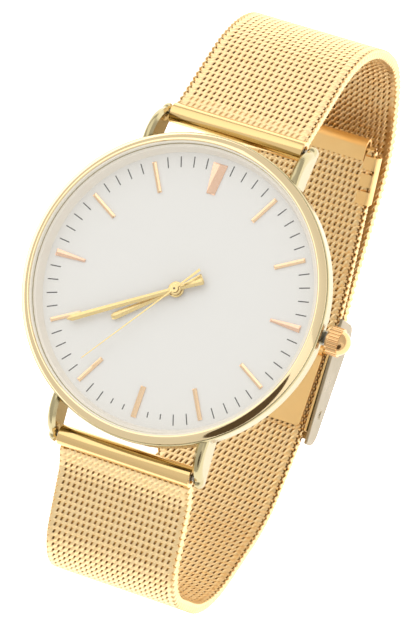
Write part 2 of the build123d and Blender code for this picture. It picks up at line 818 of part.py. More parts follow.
def end_bar(side, along, strap):
    """Tube round a spring bar whose sheet runs on as a flat sleeve over the end of the mesh."""
    half_sleeve = mesh_thickness / 2 + sleeve_wall
    reach = (sleeve_length**2 + half_sleeve**2) ** 0.5
    touch = atan2(half_sleeve, sleeve_length) + acos(end_tube_radius / reach)
    touch_x = end_tube_radius * cos(touch)
    touch_y = end_tube_radius * sin(touch)
    end_half = end_tube_length / 2
    with BuildPart() as body:
        with BuildSketch(Plane(origin=(-end_half, side * bar_y, bar_z), x_dir=along, z_dir=(1, 0, 0))):
            Circle(end_tube_radius)
            with BuildLine():
                Polyline(
                    (0, 0),
                    (touch_x, touch_y),
                    (sleeve_length, half_sleeve),
                    (sleeve_length, -half_sleeve),
                    (touch_x, -touch_y),
                    close=True,
                )
            make_face()
        extrude(amount=end_tube_length)
        add(rod(bar_radius + running_gap, half_gap, side * bar_y, bar_z), mode=Mode.SUBTRACT)
        add(strap, mode=Mode.SUBTRACT)
    return body.part


save(end_bar(1, short_route.wires()[0] % 0, strap_12.part), "end_bar_12")
save(end_bar(-1, long_wire % 0, strap_6.part), "end_bar_6")

# Cap on the tail's end: one sheet folded over the mesh, hollow in its fold and open at both sides
fold_plane = Plane(origin=(long_wire @ 1) - Vector(cap_half, 0, 0), x_dir=long_wire % 1, z_dir=(1, 0, 0))
with BuildPart() as tail_cap:
    with BuildSketch(fold_plane):
        with Locations((-fold_radius, 0)):
            Circle(fold_radius)
        with Locations((-(cap_length + fold_radius) / 2, 0)):
            Rectangle(cap_length - fold_radius, 2 * fold_radius)
        with Locations((-fold_radius, 0)):
            Circle(mesh_thickness / 2, mode=Mode.SUBTRACT)
        with Locations((-cap_length, 0)):
            Rectangle(2 * (cap_length - fold_radius), mesh_thickness, mode=Mode.SUBTRACT)
    extrude(amount=2 * cap_half)
save(tail_cap.part, "tail_cap")


def edge_clip(side):
    """Folded strip along one edge of the tail, with three tabs over each face of the mesh."""
    start = long_length - clip_start - clip_length
    clip_wire = long_wire.trim(start / long_length, (long_length - clip_start) / long_length)
    with BuildPart() as body:
        with BuildSketch(Plane(origin=clip_wire @ 0, x_dir=(1, 0, 0), z_dir=clip_wire % 0)):
            RectangleRounded(mesh_width + 2 * clip_wall, mesh_thickness + 2 * clip_wall,
                             strap_edge_radius + clip_wall)
            RectangleRounded(mesh_width, mesh_thickness, strap_edge_radius, mode=Mode.SUBTRACT)
            with Locations((-side * clip_reach, 0)):
                Rectangle(mesh_width, mesh_thickness + overrun, mode=Mode.SUBTRACT)
            with Locations((-side * mesh_width, 0)):
                Rectangle(mesh_width, mesh_thickness + overrun, mode=Mode.SUBTRACT)
        sweep(path=clip_wire)
        tab_length = (clip_length - (clip_tabs - 1) * clip_gap) / clip_tabs
        for tab in range(1, clip_tabs):
            gap_middle = start + tab * (tab_length + clip_gap) - clip_gap / 2
            gap_plane = route_plane(gap_middle).offset(-mesh_thickness - overrun)
            with BuildSketch(gap_plane):
                with Locations((side * (half_mesh - clip_reach), 0)):
                    Rectangle(2 * clip_reach, clip_gap)
            extrude(amount=2 * (mesh_thickness + overrun), mode=Mode.SUBTRACT)
    return body.part


save(edge_clip(1), "edge_clip_right")
save(edge_clip(-1), "edge_clip_left")

# Clasp slider: a channel under the long strap with ears for the hook bar and the flap's pin
slider_half = half_mesh + side_gap + slider_wall
slider_inner = half_mesh + side_gap
slider_floor_top = long_strap_z - mesh_thickness / 2
slider_floor_z = slider_floor_top - slider_floor
with BuildPart() as slider:
    with BuildSketch(Plane.YZ.offset(-slider_half)):
        with BuildLine():
            Polyline(
                (slider_back_y, slider_floor_z),
                (hook_bar_y - slider_ear_half, slider_floor_z),
                (hook_bar_y - slider_ear_half, slider_ear_z),
                (hook_bar_y + slider_ear_half, slider_ear_z),
                (hook_bar_y + slider_ear_half, slider_floor_z),
                (slider_front_y, slider_floor_z),
                (slider_front_y, slider_top_z),
                (flap_pin_y - slider_ear_half, slider_top_z),
                (slider_back_y, slider_floor_top + mesh_thickness),
                close=True,
            )
        make_face()
    extrude(amount=2 * slider_half)
    with BuildSketch(Plane.YZ.offset(-slider_inner)):
        with Locations(((slider_back_y + slider_front_y) / 2, slider_floor_top + slider_top_z / 2)):
            Rectangle(slider_front_y - slider_back_y + overrun, slider_top_z)
        with Locations(((slider_back_y + slider_front_y) / 2, slider_floor_z - slider_top_z / 2)):
            Rectangle(slider_front_y - slider_back_y + overrun, slider_top_z)
    extrude(amount=2 * slider_inner, mode=Mode.SUBTRACT)
    add(rod(hook_bar_radius, slider_half + overrun, hook_bar_y, clasp_pin_z), mode=Mode.SUBTRACT)
    add(rod(flap_pin_radius, slider_half + overrun, flap_pin_y, flap_pin_z), mode=Mode.SUBTRACT)
save(slider.part, "clasp_slider")
save(rod(hook_bar_radius, slider_half + rivet_head, hook_bar_y, clasp_pin_z), "hook_bar")
save(rod(flap_pin_radius, slider_half, flap_pin_y, flap_pin_z), "flap_pin")

# Lock flap on the wrist side, with the rib that drops into a notch of the strap
flap_half = half_mesh - flap_side_inset
flap_bottom = flap_pin_z - flap_knuckle_radius
with BuildPart() as lock_flap:
    with BuildSketch(Plane.YZ.offset(-flap_half)):
        with Locations(((flap_tip_y + flap_pin_y) / 2, flap_bottom + flap_thickness / 2)):
            Rectangle(flap_pin_y - flap_tip_y, flap_thickness)
        with Locations((flap_pin_y, flap_pin_z)):
            Circle(flap_knuckle_radius)
            Circle(flap_pin_radius + running_gap, mode=Mode.SUBTRACT)
    extrude(amount=2 * flap_half)
    tip_edges = lock_flap.edges().filter_by(Axis.Z).group_by(Axis.Y)[0]
    fillet(tip_edges, radius=flap_thickness)
    rib_plane = Plane.XY.offset(flap_bottom)
    with BuildSketch(rib_plane):
        with Locations((0, lock_notch_y)):
            SlotOverall(flap_rib_length, flap_rib_thickness)
    rib_depth = flap_bottom - (long_strap_z + mesh_thickness / 2) + notch_depth - flat_gap
    extrude(amount=-rib_depth)
save(lock_flap.part, "lock_flap")

# Clasp cover: a channel that folds over the slider from outside, hinged on the short strap
cover_inner = slider_half + side_gap
cover_half = cover_inner + cover_wall
with BuildPart() as cover:
    with BuildSketch(Plane.YZ.offset(-cover_half)):
        with BuildLine():
            FilletPolyline(
                (cover_free_y, cover_free_height),
                (cover_free_y, 0),
                (cover_ear_y, 0),
                (cover_ear_y, cover_ear_height),
                radius=[cover_corner_radius, cover_corner_radius],
            )
            Line((cover_ear_y, cover_ear_height), (cover_free_y, cover_free_height))
        make_face()
    extrude(amount=2 * cover_half)
    long_edges = cover.faces().filter_by(Axis.X).edges().filter_by(GeomType.LINE, reverse=False)
    fillet(long_edges, radius=cover_edge_fillet)
    plate_end_y = clasp_pin_y - cover_plate_end
    with BuildSketch(Plane.YZ.offset(-cover_inner)):
        with BuildLine():
            Polyline(
                (cover_free_y - overrun, cover_wall),
                (plate_end_y, cover_wall),
                (plate_end_y, -overrun),
                (cover_ear_y + overrun, -overrun),
                (cover_ear_y + overrun, cover_ear_height + overrun),
                (cover_free_y - overrun, cover_ear_height + overrun),
                close=True,
            )
        make_face()
    extrude(amount=2 * cover_inner, mode=Mode.SUBTRACT)
    add(rod(clasp_pin_radius, cover_half + overrun, clasp_pin_y, clasp_pin_z), mode=Mode.SUBTRACT)
    for side in (1, -1):
        dimple_spot = (side * cover_half, hook_bar_y, clasp_pin_z)
        dimple_plane = Plane(origin=dimple_spot, x_dir=(0, 1, 0), z_dir=(side, 0, 0))
        with BuildSketch(dimple_plane):
            Circle(dimple_radius)
        extrude(amount=dimple_bulge, taper=dimple_taper)
        with BuildSketch(dimple_plane.offset(-cover_wall)):
            Circle(dimple_radius)
        extrude(amount=dimple_depth, mode=Mode.SUBTRACT)
save(cover.part, "clasp_cover")
save(rod(clasp_pin_radius, cover_half, clasp_pin_y, clasp_pin_z), "cover_pin")

# Hook tongue fixed to the cover's floor, behind the slider's bar
hook_y = hook_bar_y - hook_bar_radius - hook_play - hook_thickness
with BuildPart() as hook:
    with BuildSketch(Plane.YZ.offset(-hook_width / 2)):
        with BuildLine():
            Polyline(
                (hook_y, cover_wall),
                (hook_y + hook_foot_length, cover_wall),
                (hook_y + hook_thickness, cover_wall + hook_thickness / 2),
                (hook_y + hook_thickness, hook_height),
                (hook_y, hook_height),
                close=True,
            )
        make_face()
    extrude(amount=hook_width)
save(hook.part, "cover_hook")

print("long strap", round(long_length, 1), "short strap", round(short_route.wires()[0].length, 1))
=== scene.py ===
"""A gold-plated three-hand watch on a woven-mesh bracelet, closed and standing on its clasp."""

from math import atan2, ceil, cos, floor, pi, radians, sin

import bpy
from mathutils import Matrix, Vector


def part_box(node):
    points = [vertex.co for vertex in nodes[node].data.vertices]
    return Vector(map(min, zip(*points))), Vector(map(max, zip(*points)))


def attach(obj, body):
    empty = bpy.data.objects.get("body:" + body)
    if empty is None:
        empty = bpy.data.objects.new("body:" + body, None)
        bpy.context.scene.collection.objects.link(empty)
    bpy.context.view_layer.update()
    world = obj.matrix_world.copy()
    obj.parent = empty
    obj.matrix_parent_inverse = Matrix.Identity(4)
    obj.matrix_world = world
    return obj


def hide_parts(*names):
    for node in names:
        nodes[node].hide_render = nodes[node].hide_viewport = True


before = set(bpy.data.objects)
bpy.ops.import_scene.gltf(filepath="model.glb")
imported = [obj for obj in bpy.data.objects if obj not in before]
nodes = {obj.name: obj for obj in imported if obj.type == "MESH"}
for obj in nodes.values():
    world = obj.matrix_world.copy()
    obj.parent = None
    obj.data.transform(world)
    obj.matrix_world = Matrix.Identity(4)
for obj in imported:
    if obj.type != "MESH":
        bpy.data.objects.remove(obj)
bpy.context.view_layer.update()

# Sizes below are in mm, as in the part's source, and turned to metres where they are used
MM = 0.001

# Sizes that the pieces share, from the frame
DIAL_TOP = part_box("dial")[1][2] / MM
STRAP_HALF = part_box("strap_12")[1][0] / MM

# How near a point counts as on a line, and how near two points are welded
NEAR = 0.005
WELD = 0.002

# Large turned pieces: their number of sides, and the angle past which an edge stays crisp
TURNED_SIDES = 160
TURNED_CREASE = radians(14)

# Bezel: radius and height over the dial of each corner of its section, from the inner wall outwards
BEZEL_PROFILE = [
    (18.72, 1.95), (18.72, 2.48), (18.76, 2.56), (18.84, 2.6), (18.94, 2.6), (18.97, 2.59),
    (19.161, 2.473), (19.363, 2.334), (19.556, 2.183), (19.73, 2.03), (19.77, 1.99), (19.78, 1.95),
]

# Crystal: radii, and heights over the dial
CRYSTAL_RADIUS = 18.51
CRYSTAL_FACE_RADIUS = 18.05
CRYSTAL_BOTTOM = 1.63
CRYSTAL_EDGE = 2.42
CRYSTAL_TOP = 2.75

# The bracelet's route in the Y and Z of the frame, as corners with their bend radii
BAR_Y = 21.65
BAR_Z = 45.55
SHORT_CORNERS = [(BAR_Y, BAR_Z), (39.5, 33.5), (39.5, 16.35), (29.7, 6.75), (13.0, 3.6), (4.9, 1.75)]
SHORT_BENDS = [18.8, 11.5, 17.0, 20.0]
LONG_CORNERS = [(-BAR_Y, BAR_Z), (-25.2, 42.05), (-36.9, 36.9), (-36.9, 18.85), (-22.7, 5.75), (-12.0, 3.8),
                (6.3, 3.8), (29.9, 13.2)]
LONG_BENDS = [4.0, 8.4, 16.5, 15.5, 20.0, 18.0]
LOCK_NOTCH = (-5.0, 3.8)
NOTCH_PITCH = 5.8
NOTCH_ROWS = 6
NOTCH_HALF = 3.8
NOTCH_FLOOR = 0.3
NOTCH_SQUEEZE = 0.1

# The weave: one coil of wire across the strap for each row, rolled flat on both faces. Heights are
# from the strap's middle
WIRE_RADIUS = 0.23
WIRE_FLATTENING = 1.06
COIL_HEIGHT = 0.74
ROLLED_HEIGHT = 0.65
ROLLED_SHARE = 0.15
COIL_PITCH = 0.76
COIL_TURNS = 23
COIL_STEPS = 10
COIL_REACH = 0.62
COIL_SLANT = 0.75
LAST_TURN_PITCHES = 0.7
LAST_TURN_SQUEEZE = 0.4
LAST_TURN_REACH = 0.7
ROW_PITCH = NOTCH_PITCH / NOTCH_ROWS
CORE_HALF = 8.75
CORE_THICKNESS = 0.5
CROSS_WIRE_RADIUS = 0.29
CROSS_WIRE_HEIGHT = 0.39
EDGE_BEAD = (0.24, 0.52, 0.66)
PRESSED_THICKNESS = 1.1
PRESSED_ROWS = 2
TUBE_RADIUS = 1.35
TUBE_BORE = 0.8
TUBE_HALF = 9.15
TUBE_ROUNDING = 0.1
MESH_START = 1.25
FIRST_ROW_ROOM = 0.35
CLASP_TUBE_RADIUS = 1.0
CLASP_TUBE_OVERLAP = 0.1
TAIL_FOLD = 1.05
TAIL_HALF = 7.3
TAIL_TAPER = 1.0

# Hands, with clock angles in degrees and heights over the dial. Each stretch is a list of stations:
# distance from the centre, half width, and 1 where the ridge is at its full height. Each boss is its
# bore, radius, bottom and top
HOUR_ANGLE = 229.8
HOUR_HEIGHT = 0.5
HOUR_FRONT = [(0.7, 0.3, 1), (8.55, 0.47, 1), (9.0, 0.3, 0)]
HOUR_TAIL = [(-3.7, 0.6, 0), (-3.5, 0.6, 1), (-0.7, 0.3, 1)]
HOUR_BOSS = (0.68, 1.02, 0.4, 0.74)
MINUTE_ANGLE = 237.6
MINUTE_HEIGHT = 0.92
MINUTE_FRONT = [(0.5, 0.3, 1), (13.9, 0.42, 1), (14.6, 0.0, 0)]
MINUTE_TAIL = [(-3.75, 0.42, 0), (-3.6, 0.42, 1), (-0.5, 0.28, 1)]
MINUTE_BOSS = (0.4, 0.78, 0.82, 1.16)
HAND_EDGE = 0.05
HAND_RIDGE = 0.12
BOSS_ROUNDING = 0.06

# Hour markers, with their half widths at the inner and the outer end, and the printed minute marks
MARKER_INNER = 12.8
MARKER_OUTER = 16.85
MARKER_HEIGHT = 0.26
MARKER_EDGE = 0.1
MARKER_END = 0.12
WEDGE_HALVES = {12: (0.56, 0.98), 3: (0.2, 0.46), 9: (0.2, 0.46), 6: (0.34, 0.34)}
STICK_HALF = 0.27
STICK_ROOF = 0.09
MARK_INNER = 15.75
MARK_OUTER = 17.15
MARK_HALF = 0.07
INK_HEIGHT = 0.015

# Patterns in the finishes, as waves per mm
BUFFING_WAVES = 0.35
PLATING_WAVES = 0.9
GRAIN_WAVES = 9.0
GLOSS_WAVES = 0.6


def linear(hex_colour):
    """sRGB hex to the linear colour that a socket takes."""
    parts = [int(hex_colour[i:i + 2], 16) / 255 for i in (1, 3, 5)]
    return tuple(p / 12.92 if p <= 0.04045 else ((p + 0.055) / 1.055) ** 2.4 for p in parts) + (1.0,)


def node(tree, kind, links=None, **settings):
    """Adds one node, sets its own settings, and fills or links its input sockets."""
    made = tree.nodes.new(kind)
    for key, value in settings.items():
        setattr(made, key, value)
    for socket, value in (links or {}).items():
        if isinstance(value, bpy.types.NodeSocket):
            tree.links.new(value, made.inputs[socket])
        else:
            made.inputs[socket].default_value = value
    return made


def new_material(name):
    """An empty material, its tree and its Principled shader."""
    mat = bpy.data.materials.new(name)
    mat.use_nodes = True
    tree = mat.node_tree
    shader = tree.nodes["Principled BSDF"]
    return mat, tree, shader


def buffed_metal(name, hex_colour, roughness):
    """Plated or bare metal, buffed: it mirrors the room, with the faint ripple of the wheel, 3 mm wide."""
    mat, tree, shader = new_material(name)
    shader.inputs["Metallic"].default_value = 1.0
    shader.inputs["Base Color"].default_value = linear(hex_colour)
    place = node(tree, "ShaderNodeTexCoord")
    wave = node(tree, "ShaderNodeTexNoise", {"Vector": place.outputs["Object"], "Scale": BUFFING_WAVES / MM,
                                             "Detail": 3.0})
    rough = node(tree, "ShaderNodeMapRange", {"Value": wave.outputs["Fac"], "From Min": 0.3, "From Max": 0.7,
                                              "To Min": roughness * 0.8, "To Max": roughness * 1.25})
    tree.links.new(rough.outputs["Result"], shader.inputs["Roughness"])
    bump = node(tree, "ShaderNodeBump", {"Height": wave.outputs["Fac"], "Strength": 0.02,
                                         "Distance": 0.2 * MM})
    tree.links.new(bump.outputs["Normal"], shader.inputs["Normal"])
    return mat


def drawn_wire(name, worn_colour, deep_colour):
    """Gold-plated brass wire, drawn and rolled: satin, paler and deeper in patches a turn or so wide."""
    mat, tree, shader = new_material(name)
    shader.inputs["Metallic"].default_value = 1.0
    place = node(tree, "ShaderNodeTexCoord")
    patch = node(tree, "ShaderNodeTexNoise", {"Vector": place.outputs["Object"], "Scale": PLATING_WAVES / MM,
                                              "Detail": 2.0})
    tint = node(tree, "ShaderNodeMixRGB", {"Fac": patch.outputs["Fac"], "Color1": linear(deep_colour),
                                           "Color2": linear(worn_colour)})
    tree.links.new(tint.outputs["Color"], shader.inputs["Base Color"])
    rough = node(tree, "ShaderNodeMapRange", {"Value": patch.outputs["Fac"], "From Min": 0.3, "From Max": 0.7,
                                              "To Min": 0.3, "To Max": 0.45})
    tree.links.new(rough.outputs["Result"], shader.inputs["Roughness"])
    return mat


def lacquered_dial(name, hex_colour, grain_colour):
    """White lacquer sprayed on brass: matt and even, with a grain that only shows close up."""
    mat, tree, shader = new_material(name)
    place = node(tree, "ShaderNodeTexCoord")
    grain = node(tree, "ShaderNodeTexNoise", {"Vector": place.outputs["Object"], "Scale": GRAIN_WAVES / MM,
                                              "Detail": 2.0})
    tint = node(tree, "ShaderNodeMixRGB", {"Fac": grain.outputs["Fac"], "Color1": linear(hex_colour),
                                           "Color2": linear(grain_colour)})
    tree.links.new(tint.outputs["Color"], shader.inputs["Base Color"])
    shader.inputs["Roughness"].default_value = 0.55
    return mat


def plain_finish(name, hex_colour, roughness, metallic=0.0):
    """A moulded, printed or turned finish with a slight change of gloss over its surface."""
    mat, tree, shader = new_material(name)
    shader.inputs["Base Color"].default_value = linear(hex_colour)
    shader.inputs["Metallic"].default_value = metallic
    place = node(tree, "ShaderNodeTexCoord")
    cloud = node(tree, "ShaderNodeTexNoise", {"Vector": place.outputs["Object"], "Scale": GLOSS_WAVES / MM,
                                              "Detail": 4.0})
    rough = node(tree, "ShaderNodeMapRange", {"Value": cloud.outputs["Fac"], "To Min": roughness * 0.8,
                                              "To Max": roughness * 1.2})
    tree.links.new(rough.outputs["Result"], shader.inputs["Roughness"])
    return mat


def clear_crystal(name):
    """Mineral glass: nearly unseen from above, whiter where its bevelled rim turns away."""
    mat, tree, shader = new_material(name)
    shader.inputs["Base Color"].default_value = linear("#FFFFFF")
    shader.inputs["Roughness"].default_value = 0.03
    shader.inputs["IOR"].default_value = 1.5
    shader.inputs["Alpha"].default_value = 0.03
    return mat


# Gold plating over polished brass. The case and the cover get a greyer, darker gold than the bezel: painted
# shade, which dims what they mirror
gold_case_painted_shade = buffed_metal("polished_gold_case", "#B6A982", 0.18)
gold_bright = buffed_metal("polished_gold_bezel", "#F4DDB0", 0.07)
gold_tube = buffed_metal("polished_gold_tube", "#E6C488", 0.14)
gold_crown = buffed_metal("polished_gold_crown", "#DFB681", 0.16)
gold_plate = buffed_metal("polished_gold_clasp", "#F9D28F", 0.3)
# A brighter, more orange gold for the flap, the tail cap and the edge clips: painted light, for parts that
# sit in shade inside the bracelet's loop
gold_flap_painted_light = buffed_metal("satin_gold_flap", "#FFD693", 0.4)
# The cover's greyer, darker gold is painted shade, as is the case's
gold_cover_painted_shade = buffed_metal("satin_gold_cover", "#A79A81", 0.3)
gold_hand = buffed_metal("polished_gold_hands", "#E6CC8C", 0.24)
# Copper-rich gold of the applied markers
rose_gold = buffed_metal("rose_gold_wedges", "#EBC3A4", 0.14)
pale_rose = buffed_metal("rose_gold_sticks", "#F3D0A6", 0.14)
# Steel pin in the middle of the hands, coloured dark brown so that it shows as a dark dot
dark_pin_steel = buffed_metal("dark_pin_steel", "#6B5A3C", 0.3)
# Wire of the bracelet: bright on the rolled turns; the imported middle that shows in the holes is a darker,
# browner copy of the same wire, painted shade
gold_wire = drawn_wire("drawn_gold_wire", "#F8E0B2", "#F6D090")
wire_core_painted_shade = drawn_wire("drawn_wire_core", "#E4B86E", "#C9984E")
dial_white = lacquered_dial("dial_lacquer", "#E3E1DB", "#E5E3DE")
# Painted, moulded, turned and rolled parts round and under the dial
flange_pearl = plain_finish("pearl_flange", "#F0E8DA", 0.35)
steel = plain_finish("turned_steel", "#B9B9B7", 0.28, metallic=1.0)
brass_plain = plain_finish("rolled_brass", "#CBAA62", 0.35, metallic=1.0)
copper = plain_finish("enamelled_copper", "#B9683A", 0.3, metallic=1.0)
plastic = plain_finish("moulded_acetal", "#E2E2DE", 0.5)
rubber = plain_finish("nitrile_rubber", "#1E1E1E", 0.6)
seal = plain_finish("nylon_seal", "#F6F0E2", 0.45)
ink = plain_finish("printing_ink", "#4A4945", 0.5)
glass = clear_crystal("mineral_glass")

finish_of = {
    "case_middle": gold_case_painted_shade, "bezel": gold_bright, "crystal": glass, "crystal_gasket": seal,
    "rehaut": flange_pearl, "dial": dial_white, "main_plate": brass_plain, "train_bridge": brass_plain,
    "battery": steel, "battery_clamp": steel, "motor_coil": copper, "movement_ring": plastic,
    "crown_tube": steel, "case_back": steel, "back_gasket": rubber, "spring_bar_12": steel,
    "spring_bar_6": steel, "second_hand": gold_hand, "second_arbor": dark_pin_steel,
    "minute_hand": gold_hand, "cannon_pinion": brass_plain, "hour_hand": gold_hand,
    "hour_wheel": brass_plain, "clutch_wheel": steel, "crown": gold_crown, "winding_stem": steel,
    "crown_gasket": rubber, "end_bar_12": gold_tube, "end_bar_6": gold_tube, "clasp_tube": gold_case_painted_shade,
    "clasp_cover": gold_cover_painted_shade, "cover_pin": gold_cover_painted_shade, "cover_hook": gold_plate, "tail_cap": gold_flap_painted_light,
    "edge_clip_right": gold_flap_painted_light, "edge_clip_left": gold_flap_painted_light, "clasp_slider": gold_plate,
    "hook_bar": gold_plate, "flap_pin": gold_plate, "lock_flap": gold_flap_painted_light, "strap_12": gold_wire,
    "strap_6": gold_wire,
}
for hour in range(1, 13):
    finish_of[f"marker_{hour:02d}"] = rose_gold


def deselect():
    """Leaves edit mode and lets go of every object."""
    if bpy.context.object and bpy.context.object.mode != "OBJECT":
        bpy.ops.object.mode_set(mode="OBJECT")
    bpy.ops.object.select_all(action="DESELECT")


def join(pieces, name):
    """Joins separate meshes into one piece at the origin."""
    deselect()
    for piece in pieces:
        piece.select_set(True)
    bpy.context.view_layer.objects.active = pieces[0]
    if len(pieces) > 1:
        bpy.ops.object.join()
    pieces[0].name = name
    return pieces[0]


def coat(piece, material):
    """Gives the whole piece one material."""
    piece.data.materials.clear()
    piece.data.materials.append(material)


for name, finish in finish_of.items():
    coat(nodes[name], finish)


def pick(piece, test):
    """Selects, in edit mode, the points whose place in mm passes the test."""
    bpy.context.tool_settings.mesh_select_mode = (True, False, False)
    bpy.ops.object.mode_set(mode="EDIT")
    bpy.ops.mesh.select_all(action="DESELECT")
    bpy.ops.object.mode_set(mode="OBJECT")
    for vertex in piece.data.vertices:
        vertex.select = test(vertex.co / MM)
    bpy.ops.object.mode_set(mode="EDIT")


def blade(stations, ridge, edge, angle, height):
    """A strip of sheet metal with a ridge down its middle, lying along a clock angle over the dial.

    Each station is its distance from the centre, its half width, and 1 where the ridge is at its full
    height or 0 where it meets the edge."""
    start, end = stations[0][0], stations[-1][0]
    deselect()
    bpy.ops.mesh.primitive_plane_add(size=2 * MM, location=(0, (start + end) / 2 * MM, edge * MM))
    strip = bpy.context.object
    strip.scale.y = (end - start) / 2
    bpy.ops.object.transform_apply(location=True, rotation=True, scale=True)
    bpy.ops.object.mode_set(mode="EDIT")
    for distance, _, _ in stations[1:-1]:
        bpy.ops.mesh.select_all(action="SELECT")
        bpy.ops.mesh.bisect(plane_co=(0, distance * MM, 0), plane_no=(0, 1, 0))
    bpy.ops.mesh.select_all(action="SELECT")
    bpy.ops.mesh.bisect(plane_co=(0, 0, 0), plane_no=(1, 0, 0))
    for distance, half, lift in stations:
        pick(strip, lambda spot: abs(spot.y - distance) < NEAR)
        bpy.ops.transform.resize(value=(half, 1, 1), center_override=(0, 0, 0))
        if lift:
            pick(strip, lambda spot: abs(spot.y - distance) < NEAR and abs(spot.x) < NEAR)
            bpy.ops.transform.translate(value=(0, 0, ridge * MM))
    bpy.ops.mesh.select_all(action="SELECT")
    bpy.ops.mesh.remove_doubles(threshold=WELD * MM)
    bpy.ops.mesh.extrude_region_move(TRANSFORM_OT_translate={"value": (0, 0, -edge * MM)})
    bpy.ops.transform.resize(value=(1, 1, 0), center_override=(0, 0, 0))
    bpy.ops.mesh.select_all(action="SELECT")
    bpy.ops.mesh.normals_make_consistent(inside=False)
    bpy.ops.object.mode_set(mode="OBJECT")
    strip.rotation_euler.z = -radians(angle)
    strip.location.z = (DIAL_TOP + height) * MM
    bpy.ops.object.transform_apply(location=True, rotation=True, scale=True)
    return strip


def turned_ring(bore, radius, bottom, top, rounding):
    """A turned ring or tube about the dial's axis with rounded rims, all sizes and heights in mm."""
    deselect()
    bpy.ops.mesh.primitive_circle_add(vertices=48, radius=bore * MM, location=(0, 0, bottom * MM))
    ring = bpy.context.object
    bpy.ops.object.transform_apply(location=True, rotation=True, scale=True)
    bpy.ops.object.mode_set(mode="EDIT")
    bpy.ops.mesh.select_all(action="SELECT")
    bpy.ops.mesh.extrude_edges_move()
    bpy.ops.transform.resize(value=(radius / bore, radius / bore, 1), center_override=(0, 0, 0))
    bpy.ops.mesh.select_all(action="SELECT")
    bpy.ops.mesh.extrude_region_move(TRANSFORM_OT_translate={"value": (0, 0, (top - bottom) * MM)})
    bpy.ops.mesh.select_all(action="SELECT")
    bpy.ops.mesh.normals_make_consistent(inside=False)
    bpy.ops.object.mode_set(mode="OBJECT")
    round_rims = ring.modifiers.new("rims", "BEVEL")
    round_rims.width = rounding * MM
    round_rims.segments = 3
    round_rims.limit_method = "ANGLE"
    bpy.ops.object.modifier_apply(modifier="rims")
    bpy.ops.object.shade_smooth_by_angle(angle=radians(50))
    return ring


def ridged_hand(name, front, tail, boss, angle, height):
    """A stamped hand with a ridge, in two stretches either side of its turned boss."""
    bore, radius, bottom, top = boss
    return join([
        blade(front, HAND_RIDGE, HAND_EDGE, angle, height),
        blade(tail, HAND_RIDGE, HAND_EDGE, angle, height),
        turned_ring(bore, radius, DIAL_TOP + bottom, DIAL_TOP + top, BOSS_ROUNDING),
    ], name)


def turned_piece(profile):
    """A piece turned about the dial's axis from a closed profile of radius and height over the dial."""
    radius, height = profile[0]
    deselect()
    bpy.ops.mesh.primitive_circle_add(vertices=TURNED_SIDES, radius=radius * MM,
                                      location=(0, 0, (DIAL_TOP + height) * MM))
    piece = bpy.context.object
    bpy.ops.object.transform_apply(location=True, rotation=True, scale=True)
    bpy.ops.object.mode_set(mode="EDIT")
    bpy.ops.mesh.select_all(action="SELECT")
    for next_radius, next_height in profile[1:] + profile[:1]:
        bpy.ops.mesh.extrude_edges_move()
        scale = next_radius / radius
        bpy.ops.transform.resize(value=(scale, scale, 1), center_override=(0, 0, 0))
        bpy.ops.transform.translate(value=(0, 0, (next_height - height) * MM))
        radius, height = next_radius, next_height
    bpy.ops.mesh.select_all(action="SELECT")
    bpy.ops.mesh.remove_doubles(threshold=WELD * MM)
    bpy.ops.mesh.normals_make_consistent(inside=False)
    bpy.ops.object.mode_set(mode="OBJECT")
    bpy.ops.object.shade_smooth_by_angle(angle=TURNED_CREASE)
    return piece


# Bezel: a nearly flat polished cone between a narrow land at the crystal and a crisp outer edge
bezel = turned_piece(BEZEL_PROFILE)
bezel.name = "bezel_cone"
coat(bezel, gold_bright)
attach(bezel, "case")
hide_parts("bezel")

# Crystal: a flat disc with a bevelled rim, a hair clear of its gasket and of the flange ring
deselect()
bpy.ops.mesh.primitive_cylinder_add(
    vertices=TURNED_SIDES, radius=CRYSTAL_RADIUS * MM, depth=(CRYSTAL_EDGE - CRYSTAL_BOTTOM) * MM,
    location=(0, 0, (DIAL_TOP + (CRYSTAL_BOTTOM + CRYSTAL_EDGE) / 2) * MM))
crystal = bpy.context.object
crystal.name = "crystal_bevelled"
bpy.ops.object.transform_apply(location=True, rotation=True, scale=True)
pick(crystal, lambda spot: spot.z > DIAL_TOP + CRYSTAL_EDGE - NEAR)
bpy.ops.mesh.extrude_region_move(
    TRANSFORM_OT_translate={"value": (0, 0, (CRYSTAL_TOP - CRYSTAL_EDGE) * MM)})
crystal_scale = CRYSTAL_FACE_RADIUS / CRYSTAL_RADIUS
bpy.ops.transform.resize(value=(crystal_scale, crystal_scale, 1), center_override=(0, 0, 0))
bpy.ops.mesh.select_all(action="SELECT")
bpy.ops.mesh.normals_make_consistent(inside=False)
bpy.ops.object.mode_set(mode="OBJECT")
bpy.ops.object.shade_smooth_by_angle(angle=TURNED_CREASE)
coat(crystal, glass)
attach(crystal, "case")
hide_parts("crystal")

# Hands, the hour hand under the minute hand
hour_hand = ridged_hand("hour_hand_ridged", HOUR_FRONT, HOUR_TAIL, HOUR_BOSS, HOUR_ANGLE, HOUR_HEIGHT)
minute_hand = ridged_hand("minute_hand_ridged", MINUTE_FRONT, MINUTE_TAIL, MINUTE_BOSS, MINUTE_ANGLE,
                          MINUTE_HEIGHT)
for hand, replaced, body in ((hour_hand, "hour_hand", "hour"), (minute_hand, "minute_hand", "minute")):
    coat(hand, gold_hand)
    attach(hand, body)
    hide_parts(replaced)

